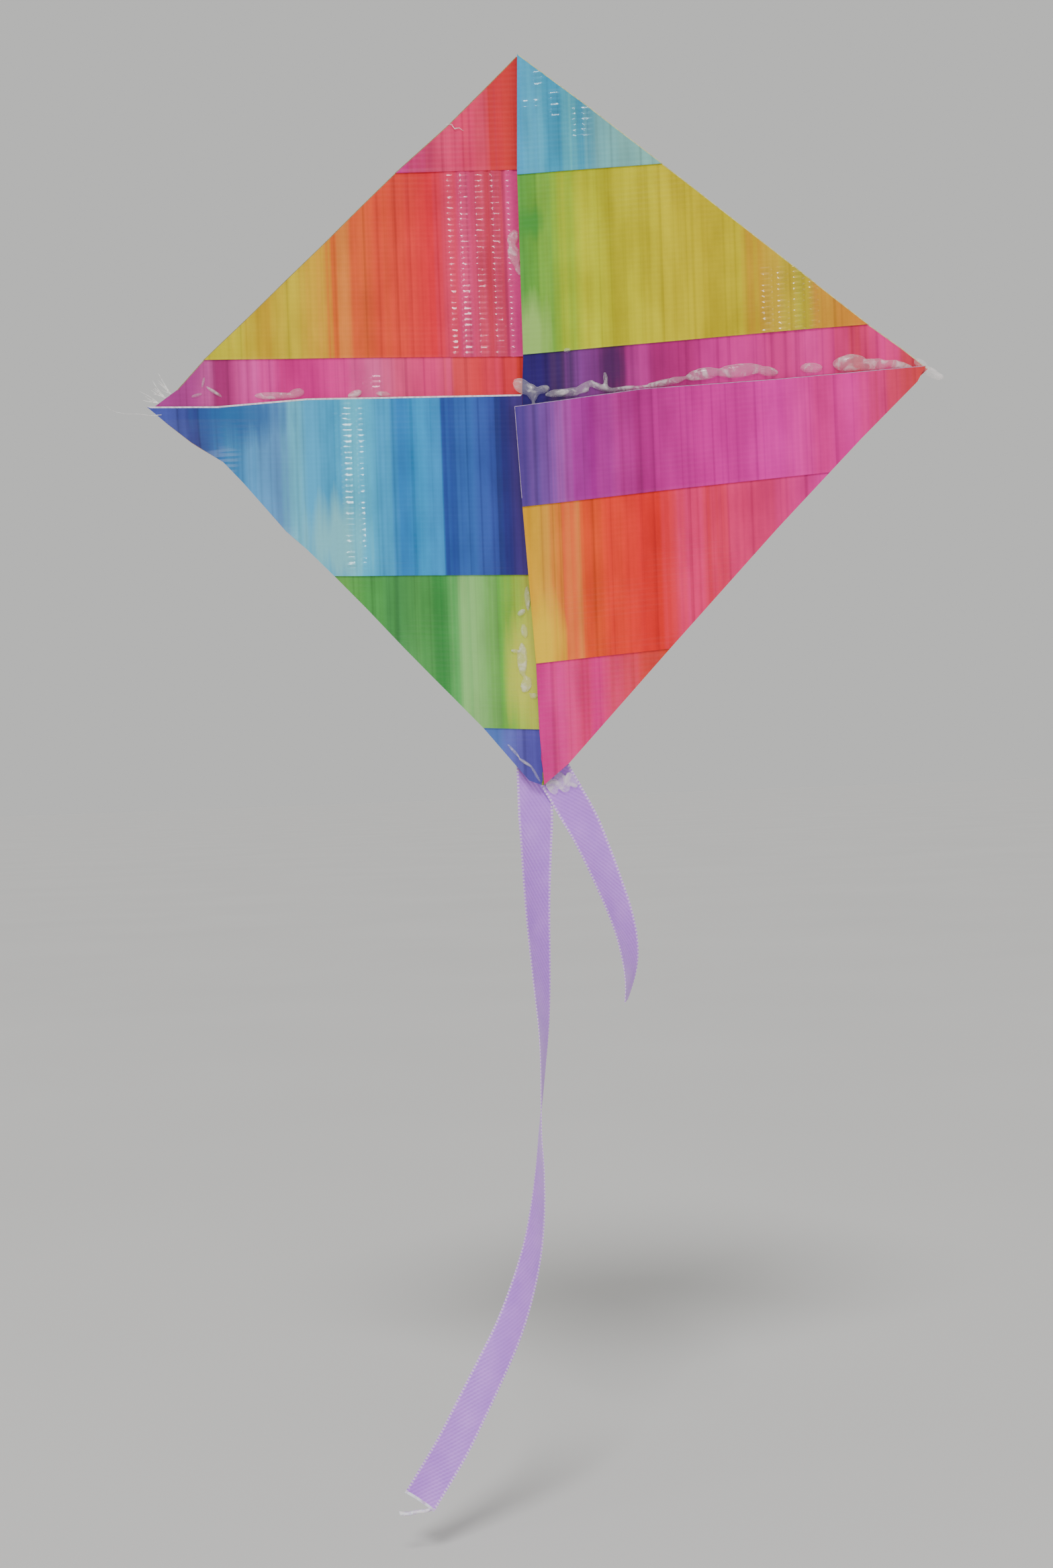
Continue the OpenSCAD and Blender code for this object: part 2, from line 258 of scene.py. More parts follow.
def smooth_route(route):
    """Rings a step apart on the smooth curve through a route's points."""
    points = [Vector(p) for p in route]
    points = [2 * points[0] - points[1]] + points + [2 * points[-1] - points[-2]]
    rings = []
    for a, b, c, d in zip(points, points[1:], points[2:], points[3:]):
        count = max(1, round((c - b).xyz.length / ring_step))
        for i in range(count):
            t = i / count
            curve = 2 * b + (c - a) * t + (2 * a - 5 * b + 4 * c - d) * t**2
            rings.append((curve + (3 * b - a - 3 * c + d) * t**3) / 2)
    return rings + [points[-2]]


def ribbon(name, rings, run_before, cut_rows=0):
    """A flat ribbon on these rings, whose weave carries on from run_before metres of ribbon. Its
    last cut_rows rows are frayed and scorched white."""
    columns = 10
    mesh = bpy.data.meshes.new(name)
    shape = bmesh.new()
    weave = shape.loops.layers.uv.new("weave")
    rows, run = [], run_before
    for i, ring in enumerate(rings):
        ahead, behind = rings[min(i + 1, len(rings) - 1)], rings[max(i - 1, 0)]
        along = (ahead - behind).xyz.normalized()
        side = along.cross(Vector((0, 1, 0))).normalized()
        out = side.cross(along)
        wide = side * math.cos(math.radians(ring.w)) + out * math.sin(math.radians(ring.w))
        thick = wide.cross(along)
        run += (ring - behind).xyz.length if i else 0
        loop = 0.12 * mm * (i % 2)
        row = []
        for face in (1, -1):
            for k in range(columns + 1):
                u = (k / columns - 0.5) * face
                reach = u * (ribbon_width + 2 * loop * (abs(u) > 0.49))
                bow = 0.7 * mm * (1 - 4 * u * u) * math.cos(math.radians(ring.w))
                height = face * ribbon_thickness / 2 + bow
                row.append((shape.verts.new(ring.xyz + wide * reach + thick * height), u + 0.5))
        rows.append((row, run))
    size = 2 * (columns + 1)
    for i, ((row, start), (following, end)) in enumerate(zip(rows, rows[1:])):
        for k in range(size):
            j = (k + 1) % size
            corners = [(*row[k], start), (*following[k], end), (*following[j], end), (*row[j], start)]
            face = shape.faces.new([c[0] for c in corners])
            for corner, (_, u, v) in zip(face.loops, corners):
                corner[weave].uv = (u * ribbon_width / mm, v / mm)
            face.material_index = int(i > len(rings) - 2 - cut_rows)
    for row, flip in ((rows[0][0], 1), (rows[-1][0], -1)):
        for k in range(columns):
            ends = [row[k], row[k + 1], row[size - 2 - k], row[size - 1 - k]]
            face = shape.faces.new([e[0] for e in ends][::flip])
    bmesh.ops.recalc_face_normals(shape, faces=shape.faces)
    shape.to_mesh(mesh)
    piece = bpy.data.objects.new(name, mesh)
    bpy.context.collection.objects.link(piece)
    piece.data.materials.append(lilac_satin)
    piece.data.materials.append(scorched_edge)
    smooth_faces(piece, 40)
    return piece


def smooth_faces(piece, angle):
    """Smooth shading, except where faces meet at more than this angle in degrees."""
    bpy.ops.object.select_all(action="DESELECT")
    piece.select_set(True)
    bpy.context.view_layer.objects.active = piece
    bpy.ops.object.shade_smooth_by_angle(angle=math.radians(angle))
    piece.select_set(False)


def ribbon_length(rings):
    return sum((b - a).xyz.length for a, b in zip(rings, rings[1:]))


# The long tail is one ribbon. It is made in two lengths that meet edge to edge.
long_rings = smooth_route(long_route)
parting = next(i for i, ring in enumerate(long_rings) if ring.z < -148 * mm)
upper_rings, lower_rings = long_rings[: parting + 1], long_rings[parting:]
long_upper = ribbon("long_tail_ribbon_upper", upper_rings, 0)
long_lower = ribbon("long_tail_ribbon_lower", lower_rings, ribbon_length(upper_rings), 2)
short_rings = smooth_route(short_route)
short_ribbon = ribbon("short_tail_ribbon", short_rings, 0)

# The end of the long tail was sealed with a flame. Its melted edge is a thin white bead that has
# torn loose and hangs on by one corner.
bead_start = Vector((-36, -4.7, -291.2)) * mm
bead_end = Vector((-44.4, -5.1, -291.8)) * mm


def drawn_thread(name, points, radius, material, tip=0.6):
    """A thin thread through points, drawn out from a small circle and thinner at its tip."""
    points = [Vector(p) for p in points]
    turn = (points[1] - points[0]).to_track_quat("Z", "Y").to_euler()
    bpy.ops.mesh.primitive_circle_add(
        vertices=8, radius=radius, fill_type="NGON", location=points[0], rotation=turn
    )
    piece = bpy.context.object
    piece.name = name
    bpy.ops.object.transform_apply()
    bpy.ops.object.mode_set(mode="EDIT")
    bpy.ops.mesh.select_all(action="SELECT")
    for here, there in zip(points, points[1:]):
        bpy.ops.mesh.extrude_region_move(TRANSFORM_OT_translate={"value": there - here})
        bpy.ops.transform.resize(value=[tip ** (1 / (len(points) - 1))] * 3, center_override=there)
    bpy.ops.mesh.select_all(action="SELECT")
    bpy.ops.mesh.normals_make_consistent(inside=False)
    bpy.ops.object.mode_set(mode="OBJECT")
    piece.data.materials.append(material)
    smooth_faces(piece, 50)
    return piece


bead_points = [bead_start.lerp(bead_end, t) + Vector((0, 0, b * mm)) for t, b in
               ((0, 0), (0.2, -0.3), (0.45, -0.25), (0.7, -0.5), (0.88, -0.35), (1, -0.1))]
loose_edge = drawn_thread("long_tail_sealed_edge", bead_points, 0.46 * mm, scorched_edge, 1.4)
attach(loose_edge, "long_tail_lower")
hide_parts("long_tail_loose_edge")

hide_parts("long_tail_root", "long_tail_upper")
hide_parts("long_tail_lower")
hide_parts("short_tail_root", "short_tail")
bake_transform(long_upper)
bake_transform(long_lower)
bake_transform(short_ribbon)


# ---- Sail ----
# Four panels of cloth tape, each two plies stuck back to back and cut with scissors. In each ply
# the strips lap like shingles. The upper left panel lies lowest, the upper right and lower left lap
# over it, and the lower right laps over all.
ply = 0.25 * mm
lap = 3 * mm
lap_ramp = 8 * mm
grid = 1.5 * mm
# In millimetres: the finer cuts where the film is pleated, and how far apart the yarns lie.
fine_grid = 0.6
weft_pitch = 1.45
warp_pitch = 4.1

# Outlines seen from the front, as (x, z) in millimetres.
panels = {
    "upper_left": {
        "outline": [
            (-98.5, -0.5), (-92, 4), (-84.5, 11.6), (-51.8, 40.8), (-32.7, 58.4), (-18.4, 70.6),
            (0, 88), (4.5, 84), (4.5, -4.5), (-90, -4.5),
        ],
        "edge": "#9a8f52",
        "bare": lambda x, z: z > 3 and x < -2,
        "edge_width": 0.18,
    },
    "upper_right": {
        "outline": [
            (-1.65, 0.5), (-1.1, 9), (-0.9, 58), (0.2, 88.3), (17.3, 74.6), (36.5, 58.3), (63.1, 36),
            (89.3, 14.3), (97.8, 7.7), (104.5, 2.1), (99, -2.5), (-1.65, -8.5),
        ],
        "edge": "#d8d79a",
        "bare": lambda x, z: z > 2 and x > 3,
        "edge_width": 0.22,
    },
    "lower_left": {
        "outline": [
            (-99.8, -0.3), (-81.5, -0.9), (-57.9, 0.3), (-30, -0.2), (-1.7, -0.7), (-1.7, -9.5),
            (3, -9.5), (3, -99.8), (0.2, -103), (-3.6, -101.5), (-15, -87.3), (-34.7, -66),
            (-44.5, -54.9), (-52.4, -46.3), (-59.3, -39.2), (-64.5, -34.3), (-69.6, -28),
            (-75.4, -21), (-80.5, -15.3), (-88.7, -9.8), (-94.6, -5),
        ],
        "edge": "#f2e6ee",
        "bare": lambda x, z: z > -1.6,
        "edge_width": 0.42,
    },
    "lower_right": {
        "outline": [
            (-3.9, -4), (29.7, -0.6), (64.1, 0.6), (83.1, 1.6), (103.7, 2.7), (101.3, -1.4),
            (86.3, -15.5), (63.4, -38.3), (34.3, -68.5), (7, -97.4), (0.3, -102.8), (-0.4, -88.4),
            (-0.6, -71), (-1.8, -48), (-2.8, -28),
        ],
        "edge": "#b8a0c2",
        "bare": lambda x, z: z > x * 0.06 - 4.5 or x < 0 and z > -28,
        "edge_width": 0.13,
    },
}


def billow(x, z):
    """How far the sail stands off its flat plane at (x, z), in millimetres; minus is forward."""
    arch = math.sin(math.pi * min(abs(x) / 92, 1)) * math.sin(math.pi * min(abs(z) / 84, 1))
    puff = -1.3 * arch
    dimple = 0.28 * noise.noise(Vector((x * 0.05, z * 0.05, 3))) * min(1, abs(x) / 8) * min(1, abs(z) / 8)
    curl = 0.0
    if x < -55 and z < -4:
        curl = 3.2 * min(1, (-55 - x) / 45) ** 1.5 * min(1, (-4 - z) / 8)
    wave = 0.0
    if x < 0 and z < -4:
        edge = max(0, 1 - max(0, x + 103 + 0.97 * z) / 26)
        wave = 0.8 * edge * math.sin(0.16 * (x - z) + 0.8) * min(1, (-4 - z) / 10)
    return puff + dimple + curl + wave


def pressed_scrim(x, z, slope, zones):
    """How far the yarns of the scrim stand out at (x, z), in millimetres, where the film was stretched
    over them: short pleats 1.45 mm apart, in columns 4.1 mm apart between the warp yarns."""
    relief = 0.0
    for left, right, low, high, height in zones:
        inside = min(x - left, right - x, z - low, high - z)
        if inside > 0:
            across = z - slope * x
            pleat = 2 * abs(across / weft_pitch % 1 - 0.5)
            column = min(1, 2.6 * math.sin(math.pi * (x / warp_pitch + 0.15)) ** 2)
            uneven = 0.75 + 0.5 * noise.noise(Vector((x * 0.2, across * 0.6, 7)))
            relief = max(relief, min(1, inside / 1.2) * height * pleat * column * uneven)
    return relief


def tape_strip(name, panel, node, low, high, back, material, bare_edge, zones):
    """One strip of tape, from its own lower edge up to where it tucks under the strip above."""
    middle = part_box(panel + "_bottom_strip")[1][1]
    side = -1 if back else 1
    shape = bmesh.new()
    outline = [(x + 0.12 * noise.noise(Vector((x, z, 1)) * 0.3), z) for x, z in panels[panel]["outline"]]
    face = shape.faces.new([shape.verts.new((x * mm, 0, z * mm)) for x, z in outline])
    shape.normal_update()
    inset = bmesh.ops.inset_region(
        shape, faces=[face], thickness=panels[panel]["edge_width"] * mm,
        use_boundary=True, use_even_offset=True,
    )
    for rim in inset["faces"]:
        centre = rim.calc_center_median() / mm
        rim.material_index = int(panels[panel]["bare"](centre.x, centre.z))

    def cut(place, direction, above=False, below=False):
        bmesh.ops.bisect_plane(
            shape, geom=shape.verts[:] + shape.edges[:] + shape.faces[:], dist=1e-7,
            plane_co=place, plane_no=direction, clear_outer=above, clear_inner=below,
        )

    if low:
        rise = Vector((-low[1], 0, 1)).normalized()
        foot = Vector((0, 0, low[0] * mm))
        cut(foot, rise, below=True)
        for h in (0.4 * mm, 1.2 * mm, lap):
            cut(foot + rise * h, rise)
    if high:
        rise = Vector((-high[1], 0, 1)).normalized()
        cut(Vector((0, 0, high[0] * mm)) + rise * lap, rise, above=True)
    xs = [v.co.x for v in shape.verts]
    zs = [v.co.z for v in shape.verts]
    for i in range(int((max(xs) - min(xs)) / grid)):
        cut(Vector((min(xs) + (i + 0.5) * grid, 0, 0)), Vector((1, 0, 0)))
    for i in range(int((max(zs) - min(zs)) / grid)):
        cut(Vector((0, 0, min(zs) + (i + 0.5) * grid)), Vector((0, 0, 1)))
    slope = (low or high)[1]
    for left, right, bottom, top, _ in zones:
        for i in range(int(left / fine_grid), int(right / fine_grid) + 1):
            cut(Vector((i * fine_grid * mm, 0, 0)), Vector((1, 0, 0)))
        rows = [z - slope * x for x in (left, right) for z in (bottom, top)]
        for i in range(int(4 * min(rows) / weft_pitch), int(4 * max(rows) / weft_pitch) + 1):
            cut(Vector((0, 0, i * weft_pitch / 4 * mm)), Vector((-slope, 0, 1)).normalized())
    for v in shape.verts:
        x, z = v.co.x / mm, v.co.z / mm
        lift = 0.0
        if low:
            h = (z - low[0] - low[1] * x) * mm
            rest = min(1, max(0, (lap + lap_ramp - h) / lap_ramp))
            lift = ply * rest * rest * (3 - 2 * rest)
            lift += 0.1 * mm * math.exp(-max(h, 0) / (0.6 * mm))
        lift += pressed_scrim(x, z, slope, zones) * mm
        v.co.y = middle - side * (ply + lift) + billow(x, z) * mm
    bmesh.ops.recalc_face_normals(shape, faces=shape.faces)
    total = sum((f.normal for f in shape.faces), Vector())
    if total.y * side > 0:
        bmesh.ops.reverse_faces(shape, faces=shape.faces)
    area = sum(f.calc_area() for f in shape.faces)
    mesh = bpy.data.meshes.new(name)
    shape.to_mesh(mesh)
    piece = bpy.data.objects.new(name, mesh)
    bpy.context.collection.objects.link(piece)
    piece.data.materials.append(material)
    piece.data.materials.append(bare_edge)
    bpy.context.view_layer.objects.active = piece
    piece.select_set(True)
    solid = piece.modifiers.new("thickness", "SOLIDIFY")
    solid.thickness = ply
    solid.offset = -1
    bpy.ops.object.modifier_apply(modifier=solid.name)
    smooth_faces(piece, 40)
    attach(piece, "kite")
    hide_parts(node)


def printed_tape(name, stops, slope, stains_and_painted_shade, seed):
    """Printed cloth tape: a glossy film with streaks of colour across the strip, over woven scrim
    whose yarns press through as fine ribs."""
    material, tree, shader = new_material(
        "tape_" + name,
        {
            "IOR": 1.5, "Specular IOR Level": 0.15,
            "Coat Weight": 0.6, "Coat Roughness": 0.11, "Coat IOR": 1.5,
        },
    )
    place = add_node(tree, "ShaderNodeTexCoord").outputs["Object"]
    axes = add_node(tree, "ShaderNodeSeparateXYZ", links={0: place})

    def streaks(width, length, detail, shift):
        stretched = add_node(
            tree,
            "ShaderNodeMapping",
            {
                "Location": (seed * 7.3 + shift, shift, seed),
                "Scale": (1 / (width * mm), 1, 1 / (length * mm)),
            },
            {"Vector": place},
        )
        return add_node(
            tree, "ShaderNodeTexNoise", {"Scale": 1, "Detail": detail}, {0: stretched.outputs[0]}
        ).outputs[0]

    # The ink wanders a few millimetres from its band, in straight streaks 1 to 4 mm wide.
    wander = add_node(
        tree, "ShaderNodeMath", {"operation": "MULTIPLY_ADD", 1: 12 * mm, 2: -6 * mm},
        {0: streaks(3, 700, 3, 0)},
    )
    ink = add_node(
        tree, "ShaderNodeMath", {"operation": "ADD"}, {0: axes.outputs["X"], 1: wander.outputs[0]}
    )
    first, last = stops[0][0], stops[-1][0]
    band = add_node(
        tree, "ShaderNodeMapRange", {"From Min": first * mm, "From Max": last * mm}, {0: ink.outputs[0]}
    )
    span = last - first
    colour = add_ramp(tree, band.outputs[0], [((x - first) / span, code) for x, code in stops])
    fine = add_ramp(tree, streaks(1.6, 500, 2, 9), [(0.32, "#b4a8ae"), (0.46, "#f2f0f1"), (0.6, "#ffffff")])
    streaked = add_node(
        tree, "ShaderNodeMix", {"data_type": "RGBA", "blend_type": "MULTIPLY", 0: 0.5}, {6: colour, 7: fine}
    )
    washed = add_ramp(tree, streaks(7, 22, 3, 31), [(0.36, "#d9d2d5"), (0.6, "#ffffff")])
    printed = add_node(
        tree, "ShaderNodeMix", {"data_type": "RGBA", "blend_type": "MULTIPLY", 0: 0.6},
        {6: streaked.outputs[2], 7: washed},
    )
    # Soft-edged patches where a second ink ran over the first, and one patch of painted shade.
    inked_and_painted_shade = printed.outputs[2]
    for x, z, width, length, code in stains_and_painted_shade:
        spot = add_node(
            tree, "ShaderNodeMapping",
            {
                "vector_type": "TEXTURE", "Location": (x * mm, 0, z * mm),
                "Scale": (width * mm, 1, length * mm),
            },
            {"Vector": place},
        )
        fading = add_node(
            tree, "ShaderNodeTexGradient", {"gradient_type": "SPHERICAL"}, {0: spot.outputs[0]}
        )
        ragged = add_node(
            tree, "ShaderNodeMath", {"operation": "MULTIPLY_ADD", 1: 0.9},
            {0: streaks(2.2, 30, 3, 43), 2: fading.outputs["Fac"]},
        )
        amount = add_node(
            tree, "ShaderNodeMapRange", {"From Min": 0.72, "From Max": 1.2, "To Max": 0.75},
            {0: ragged.outputs[0]},
        )
        inked_and_painted_shade = add_node(
            tree, "ShaderNodeMix", {"data_type": "RGBA", 7: linear(code)}, {0: amount.outputs[0], 6: inked_and_painted_shade}
        ).outputs[2]
    tree.links.new(inked_and_painted_shade, shader.inputs["Base Color"])

    # The scrim's weft yarns show faintly everywhere as ribs along the strip.
    level = add_node(
        tree, "ShaderNodeMapping", {"Rotation": (0, math.atan(slope), 0)}, {"Vector": place}
    ).outputs[0]
    ribs = add_node(
        tree, "ShaderNodeTexWave",
        {"bands_direction": "Z", "Scale": math.pi / (10 * weft_pitch * mm), "Distortion": 0.5, "Detail": 1},
        {"Vector": level},
    ).outputs[0]
    uneven = add_node(
        tree, "ShaderNodeTexNoise", {"Scale": 1 / (9 * mm), "Detail": 2}, {0: place}
    ).outputs[0]
    woven = add_node(tree, "ShaderNodeMath", {"operation": "MULTIPLY"}, {0: ribs, 1: uneven})
    height = add_node(
        tree, "ShaderNodeMath", {"operation": "MULTIPLY", 1: 0.55}, {0: woven.outputs[0]}
    ).outputs[0]
    bump = add_node(tree, "ShaderNodeBump", {"Strength": 1, "Distance": 0.09 * mm}, {"Height": height})
    tree.links.new(bump.outputs[0], shader.inputs["Normal"])
    tree.links.new(bump.outputs[0], shader.inputs["Coat Normal"])
    wear = add_node(tree, "ShaderNodeMapRange", {"To Min": 0.26, "To Max": 0.46}, {0: uneven})
    tree.links.new(wear.outputs[0], shader.inputs["Roughness"])
    return material


def cut_scrim(name, code):
    """The scissor-cut edge: white cotton yarn ends and pale adhesive, slightly fluffy."""
    material, tree, shader = new_material(
        "cut_edge_" + name, {"Roughness": 0.75, "IOR": 1.5, "Sheen Weight": 0.3}
    )
    place = add_node(tree, "ShaderNodeTexCoord").outputs["Object"]
    fluff = add_node(tree, "ShaderNodeTexNoise", {"Scale": 1 / (0.9 * mm), "Detail": 3}, {0: place})
    shade = add_node(
        tree, "ShaderNodeMix", {"data_type": "RGBA", "blend_type": "MULTIPLY", 0: 0.6, 6: linear(code)},
        {7: add_ramp(tree, fluff.outputs[0], [(0.3, "#9a9092"), (0.6, "#ffffff")])},
    )
    tree.links.new(shade.outputs[2], shader.inputs["Base Color"])
    bump = add_node(
        tree, "ShaderNodeBump", {"Strength": 0.7, "Distance": 0.15 * mm}, {"Height": fluff.outputs[0]}
    )
    tree.links.new(bump.outputs[0], shader.inputs["Normal"])
    return material


# Each strip: its lower edge and the lower edge of the strip above, as (height at x = 0, slope),
# the places where its film is pleated over the yarns, as (left, right, low, high, height of the
# pleats), and its colours from left to right. All in millimetres.
a1, a2, ab = (58.3, 0), (9.4, -0.025), (37, 0.01)
b1, b2, bb = (56.7, 0.032), (9.7, 0.051), (35, -0.02)
c1, c2, cb = (-47.9, -0.027), (-88.3, -0.062), (-41, 0.02)
d1, d2, db = (-30, 0.074), (-71.1, 0.073), (-43, -0.03)
strips = [
    ("upper_left_top", a1, None, [], [
        (-34, "#e3189c"), (-25, "#d03066"), (-20, "#f23a72"), (-15, "#f82e6c"), (-9, "#f03c62"),
        (-6, "#e8303c"), (-3, "#dc3434"), (2, "#c82c34")]),
    ("upper_left_middle", a2, a1, [(-20.3, -1.8, 8, 59, 0.42)], [
        (-86, "#d2cc10"), (-76, "#d4c41a"), (-68, "#d8ac14"), (-62, "#dcc41a"), (-55, "#e4b01e"),
        (-52, "#e8a024"), (-50.5, "#f06a22"), (-47.5, "#fb9238"), (-44, "#f2642c"), (-37, "#f64e30"),
        (-30, "#fa4038"), (-24, "#f62038"), (-20, "#f03058"), (-16, "#f23c80"), (-12, "#e83a6c"),
        (-8, "#d83450"), (-4, "#ee3e8c"), (4, "#d82a80")]),
    ("upper_left_bottom", None, a2, [(-43.5, -36, 1.5, 6.5, 0.45)], [
        (-96, "#b43c98"), (-88, "#b83c92"), (-84, "#cc509c"), (-80, "#ac2874"), (-76, "#d43c92"),
        (-72, "#f44cb0"), (-64, "#dc1c88"), (-56, "#e81c92"), (-48, "#f23498"), (-40, "#ee5c9c"),
        (-34, "#ee4a80"), (-27, "#f43480"), (-22, "#fa4080"), (-18, "#f24450"), (-13, "#f03844"),
        (-8, "#fa305c"), (-3, "#e4342e"), (4, "#cc2c28")]),
    ("upper_right_top", b1, None, [
        (3, 9, 79, 84, 0.45), (0.5, 6, 72.5, 76.5, 0.4),
        (7.5, 12.5, 70.5, 78.5, 0.42), (13.5, 20, 65, 74.5, 0.45)], [
        (-1, "#38a8dc"), (4, "#4cb8dc"), (7, "#3ca8cc"), (10, "#30a0c8"), (13.5, "#5cc0cc"),
        (16, "#38a0c4"), (20, "#70bcc4"), (26, "#7cc0bc"), (38, "#84c4b8")]),
    ("upper_right_middle", b2, b1, [(60, 77, 12, 31, 0.4)], [
        (-1, "#5cac44"), (3, "#68ac38"), (6, "#84bc3c"), (9, "#98c42c"), (13, "#bccc18"),
        (17, "#d0d40c"), (20, "#c8c808"), (23, "#bcb404"), (28, "#d0c800"), (38, "#dccc00"),
        (47, "#d0bc00"), (56, "#d2c000"), (60, "#d4a41c"), (66, "#d8b428"), (72, "#ccc01c"),
        (77, "#dc9c24"), (92, "#e07c24")]),
    ("upper_right_bottom", None, b2, [], [
        (-1, "#2c1c74"), (5, "#301466"), (9, "#4a2a60"), (14, "#883c94"), (18, "#803080"),
        (22, "#5c1c54"), (26, "#9c2878"), (30, "#cc349a"), (34, "#ac2074"), (42, "#c82484"),
        (47, "#dc2896"), (58, "#e82c9a"), (66, "#de2c88"), (74, "#f434a0"), (80, "#e62c88"),
        (86, "#e0305c"), (93, "#f62c92"), (99, "#e43c58"), (106, "#dc3c40")]),
    ("lower_left_top", c1, None, [(-51.5, -42.5, -46, -1, 0.36)], [
        (-100, "#4c58b8"), (-92, "#4450a4"), (-86.5, "#2c3480"), (-83, "#2c64ac"), (-78, "#2c80bc"),
        (-72, "#58a4dc"), (-66, "#5c98d0"), (-62, "#64c0dc"), (-57, "#48b0e0"), (-51, "#34a8dc"),
        (-47, "#5ccce8"), (-42, "#40bce8"), (-36, "#3090d0"), (-33, "#2880c8"), (-29, "#24a4e4"),
        (-24, "#3494d8"), (-21.8, "#2c4ca0"), (-17, "#3464b4"), (-11, "#3c58b0"), (-7, "#2c2c7c"),
        (-3, "#44307c"), (4, "#38246c")]),
    ("lower_left_middle", c2, c1, [], [
        (-54, "#6cb44c"), (-44, "#4ca448"), (-36, "#489c50"), (-30, "#54a850"), (-25, "#349040"),
        (-22, "#58b058"), (-18, "#94d078"), (-14, "#88c86c"), (-10, "#68b844"), (-6, "#98c83c"),
        (-2, "#c0d048"), (4, "#c4d04c")]),
    ("lower_left_bottom", None, c2, [], [
        (-17, "#3c78c8"), (-11, "#5474c8"), (-6, "#6460c0"), (-2, "#5850b4"), (4, "#5444a8")]),
    ("lower_right_top", d1, None, [], [
        (-4, "#4c3890"), (1, "#6c48a0"), (5, "#8048a4"), (8, "#b050b0"), (12, "#b030a0"),
        (16, "#a81c90"), (20, "#b83098"), (24, "#c42c98"), (28, "#b01c80"), (36, "#cc2094"),
        (45, "#dc189c"), (55, "#e61ca4"), (64, "#ee20ac"), (71, "#f42aa8"), (76, "#e82490"),
        (84, "#fa22a8"), (94, "#ea3468"), (104, "#e04038")]),
    ("lower_right_middle", d2, d1, [], [
        (-3, "#e8a80c"), (1, "#f2b41c"), (4, "#fcb034"), (6.5, "#f88a28"), (8, "#f86430"),
        (11, "#fc8c3c"), (14, "#f8501c"), (20, "#fa3c24"), (28, "#fa2828"), (32, "#ee241c"),
        (36, "#fa2c48"), (41, "#fc2c78"), (46, "#f42c50"), (52, "#fc3078"), (62, "#e82c74"),
        (76, "#ec2ca0")]),
    ("lower_right_bottom", None, d2, [], [
        (-1, "#e01c8c"), (4, "#f02c94"), (8, "#f43488"), (12, "#ec2870"), (15, "#fa2090"),
        (20, "#f03468"), (28, "#ec3c3c"), (34, "#e44028")]),
    ("upper_left_back_top", ab, None, [], [
        (-62, "#3f9fc8"), (-45, "#58ab4c"), (-30, "#b8bf20"), (-15, "#d8a024"), (4, "#e05a30")]),
    ("upper_left_back_bottom", None, ab, [], [
        (-98, "#5a3f9c"), (-80, "#a03090"), (-60, "#cf2a80"), (-40, "#e03a40"), (-20, "#e88a34"),
        (4, "#c8b820")]),
    ("upper_right_back_top", bb, None, [], [
        (-1, "#d8303c"), (15, "#e06a30"), (35, "#d6a524"), (66, "#9cb82c")]),
    ("upper_right_back_bottom", None, bb, [], [
        (-1, "#2f4f9c"), (20, "#3f96c4"), (45, "#5aae8c"), (70, "#7fb43c"), (105, "#bcbc20")]),
    ("lower_left_back_top", cb, None, [], [
        (-100, "#c8b020"), (-75, "#e07a30"), (-50, "#e03848"), (-25, "#c82a84"), (4, "#7a2f90")]),
    ("lower_left_back_bottom", None, cb, [], [
        (-60, "#4a4fa8"), (-40, "#3f92c4"), (-20, "#4fa860"), (4, "#a9be2c")]),
    ("lower_right_back_top", db, None, [], [
        (-4, "#58a84c"), (20, "#b4c024"), (45, "#dc9a2c"), (70, "#e04a34"), (104, "#c82c7c")]),
    ("lower_right_back_bottom", None, db, [], [
        (-3, "#9c3090"), (15, "#5a48a4"), (35, "#3a7fc0"), (60, "#4fb0c8")]),
]
# Blots in the print, and one patch of painted shade: place, half width and half height in millimetres, and
# colour.
print_blots_and_painted_shade = {
    "upper_right_middle": [(2, 44, 6, 7, "#3c9438"), (1, 14, 9, 18, "#a8d06c")],
    "upper_right_bottom": [(22, 6, 6, 12, "#4c1c58")],
    # The dark blue patch at (-75, -3) is painted shade, where the tip of the lower left panel curls back.
    "lower_left_top": [(-75, -3, 20, 12, "#2c5c9c"), (-52, -38, 14, 20, "#88d0d4")],
    "lower_left_middle": [(-4, -72, 8, 24, "#d0d048")],
    "lower_right_middle": [(2, -66, 9, 20, "#f4cc1c")],
}
bare_edges = {panel: cut_scrim(panel, facts["edge"]) for panel, facts in panels.items()}
for seed, (name, low, high, pressed, stops) in enumerate(strips):
    panel = "_".join(name.split("_")[:2])
    slope = (low or high)[1]
    tape = printed_tape(name, stops, slope, print_blots_and_painted_shade.get(name, []), seed)
    tape_strip(
        name + "_tape", panel, name + "_strip", low, high, "back" in name, tape, bare_edges[panel], pressed
    )


